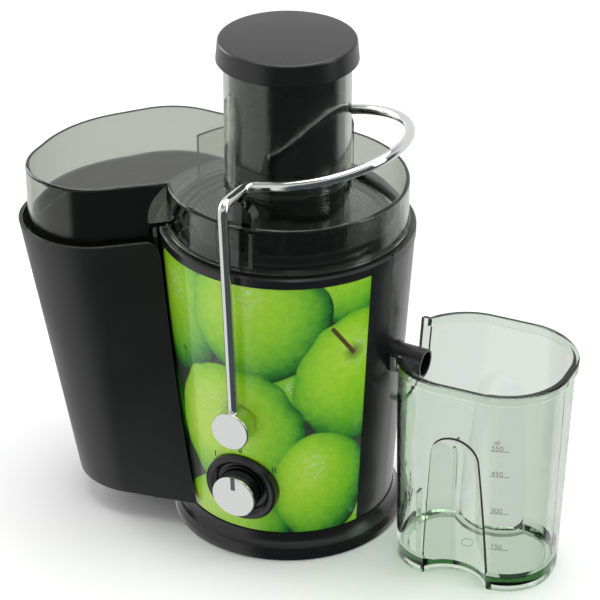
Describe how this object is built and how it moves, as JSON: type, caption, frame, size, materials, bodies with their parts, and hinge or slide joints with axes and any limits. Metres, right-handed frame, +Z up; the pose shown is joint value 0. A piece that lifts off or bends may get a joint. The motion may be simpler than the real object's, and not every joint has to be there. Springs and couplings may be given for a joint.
{
  "type": "centrifugal juicer",
  "caption": "Centrifugal juicer with a tapered motor housing, clear lid and feed tube, locking bail, pulp container and separate clear juice jug.",
  "frame": {"origin": "centre of the round base, on the table it stands on", "axes": "+Z up along the motor shaft, +X from the body towards the juice spout and jug, -Y towards the user and the control knob"},
  "size_m": [0.3588, 0.1882, 0.3294],
  "materials": {
    "body_black": "satin black moulded plastic",
    "printed_panel": "glossy panel printed with green apples",
    "cap_black": "fine satin black",
    "pusher_grey": "dark grey plastic",
    "smoke_clear": "smoky grey-green clear plastic",
    "jug_clear": "pale green clear plastic",
    "container_black": "charcoal black with a fine grain",
    "bail_chrome": "polished chrome plate",
    "pointer_grey": "grey inlay",
    "steel": "zinc-plated steel",
    "bearing_bronze": "sintered bronze and brass",
    "stainless": "perforated stainless sheet",
    "plastic_white": "natural moulded nylon",
    "rubber_black": "soft black rubber",
    "plastic_dark": "dark moulded plastic",
    "lamination": "stacked electrical steel",
    "copper_wire": "enamelled copper",
    "carbon": "pressed carbon"
  },
  "bodies": {
    "root": {"base_skirt": "body_black", "bottom_cover": "plastic_dark", "bottom_screws": "steel", "brush_holders": "bearing_bronze", "carbon_brushes": "carbon", "control_bezel": "body_black", "cord_inlet": "rubber_black", "feed_tube": "smoke_clear", "field_coils": "copper_wire", "front_panel": "printed_panel", "housing_shell": "body_black", "interlock_switch": "plastic_dark", "juice_bowl": "body_black", "lid": "smoke_clear", "lower_bearing": "bearing_bronze", "lower_bracket": "steel", "motor_deck": "plastic_dark", "motor_grommets": "rubber_black", "motor_screws": "steel", "motor_stator": "lamination", "pivot_bush_front": "plastic_dark", "pivot_bush_rear": "plastic_dark", "rotary_switch": "plastic_dark", "rubber_feet": "rubber_black", "shaft_seal": "rubber_black", "top_ring": "body_black", "upper_bearing": "bearing_bronze", "upper_bracket": "steel"},
    "bail": {"locking_bail": "bail_chrome", "bail_hub_front": "bail_chrome", "bail_hub_rear": "bail_chrome", "pivot_pin_front": "steel", "pivot_pin_rear": "steel", "pivot_clips": "steel", "interlock_cam": "plastic_white"},
    "interlock": {"interlock_plunger": "plastic_white"},
    "knob": {"control_knob": "bail_chrome", "knob_pointer": "pointer_grey", "switch_spindle": "steel"},
    "rotor": {"motor_shaft": "steel", "armature_core": "lamination", "armature_windings": "copper_wire", "commutator": "copper_wire", "cooling_fan": "plastic_white", "drive_coupling": "plastic_white", "strainer_frame": "plastic_dark", "strainer_rim": "plastic_dark", "strainer_mesh": "stainless", "grater_disc": "stainless"},
    "pusher": {"pusher_cap": "cap_black", "pusher_body": "pusher_grey"},
    "container": {"pulp_container": "container_black"},
    "jug": {"juice_jug": "jug_clear"}
  },
  "joints": [
    {"name": "bail_swing", "type": "hinge", "parent": "root", "child": "bail", "pos_m": [0, 0, 0.0995], "axis": [0, 1, 0], "range_deg": [0, 48]},
    {"name": "interlock_press", "type": "slide", "parent": "root", "child": "interlock", "axis": [0, 0, 1], "range_m": [0, 0.0031]},
    {"name": "knob_turn", "type": "hinge", "parent": "root", "child": "knob", "pos_m": [0, -0.07004, 0.05], "axis": [0, -0.9981, -0.0616], "range_deg": [-58, 50]},
    {"name": "motor_spin", "type": "hinge", "parent": "root", "child": "rotor", "pos_m": [0, 0, 0.15], "axis": [0, 0, 1], "continuous": true},
    {"name": "pusher_lift", "type": "slide", "parent": "root", "child": "pusher", "axis": [0, 0, 1], "range_m": [0, 0.12]},
    {"name": "container_tilt", "type": "hinge", "parent": "root", "child": "container", "pos_m": [-0.083, 0, 0.2], "axis": [0, 1, 0], "range_deg": [0, 10]},
    {"name": "jug_slide", "type": "slide", "parent": "root", "child": "jug", "axis": [1, 0, 0], "range_m": [0, 0.12]}
  ],
  "couplings": [
    {"joint": "interlock_press", "follows": "bail_swing", "m_per_rad": 0.003581}
  ]
}
